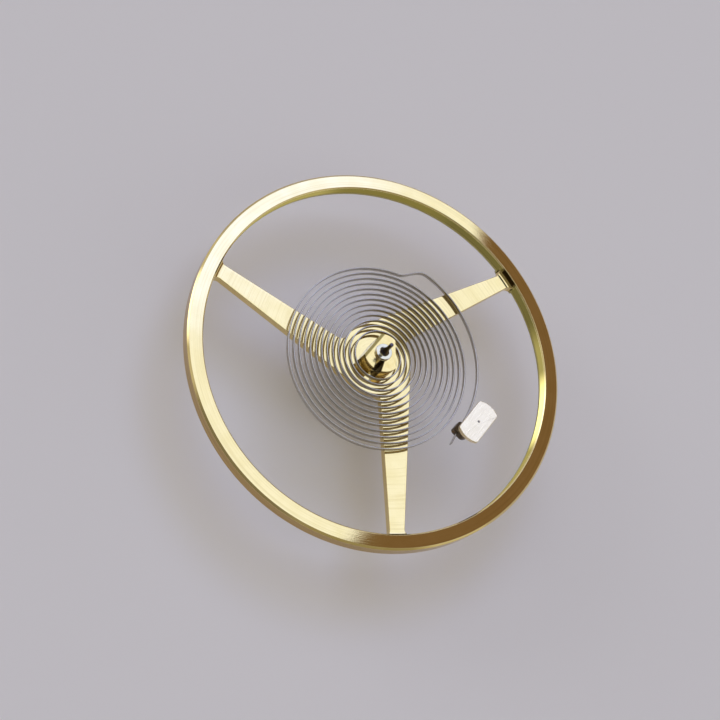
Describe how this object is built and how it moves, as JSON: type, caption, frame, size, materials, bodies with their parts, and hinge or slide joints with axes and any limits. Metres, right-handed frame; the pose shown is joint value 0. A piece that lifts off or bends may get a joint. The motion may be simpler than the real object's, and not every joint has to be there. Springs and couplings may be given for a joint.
{
  "type": "watch balance wheel",
  "caption": "Smooth brass-coloured balance wheel with offset tapered arms on its staff, with flat hairspring, slotted collet, stud and double roller.",
  "frame": {"origin": "tip of the lower pivot, on the staff's axis", "axes": "+Z along the staff towards the upper pivot, +X from the staff towards the hairspring's stud"},
  "size_m": [0.01, 0.01, 0.0028],
  "materials": {
    "wheel_metal": "gilt, fine turned grain",
    "collet_brass": "polished",
    "staff_steel": "hardened and burnished steel",
    "roller_steel": "satin",
    "spring_alloy": "drawn ribbon",
    "stud_steel": "fine satin",
    "ruby": "polished synthetic ruby",
    "cement": "hard brown cement"
  },
  "bodies": {
    "stud": {"stud": "stud_steel", "stud_cement": "cement"},
    "balance": {"balance_wheel": "wheel_metal", "balance_staff": "staff_steel", "double_roller": "roller_steel", "impulse_jewel": "ruby", "jewel_cement": "cement", "collet": "collet_brass", "collet_pin": "collet_brass", "hairspring": "spring_alloy"}
  },
  "joints": [
    {"name": "balance_swing", "type": "hinge", "parent": "stud", "child": "balance", "pos_m": [0, 0, 0], "axis": [0, 0, 1], "range_deg": [-315, 315], "stiffness_Nm_per_rad": 0.000000405, "deforming": ["hairspring"]}
  ]
}
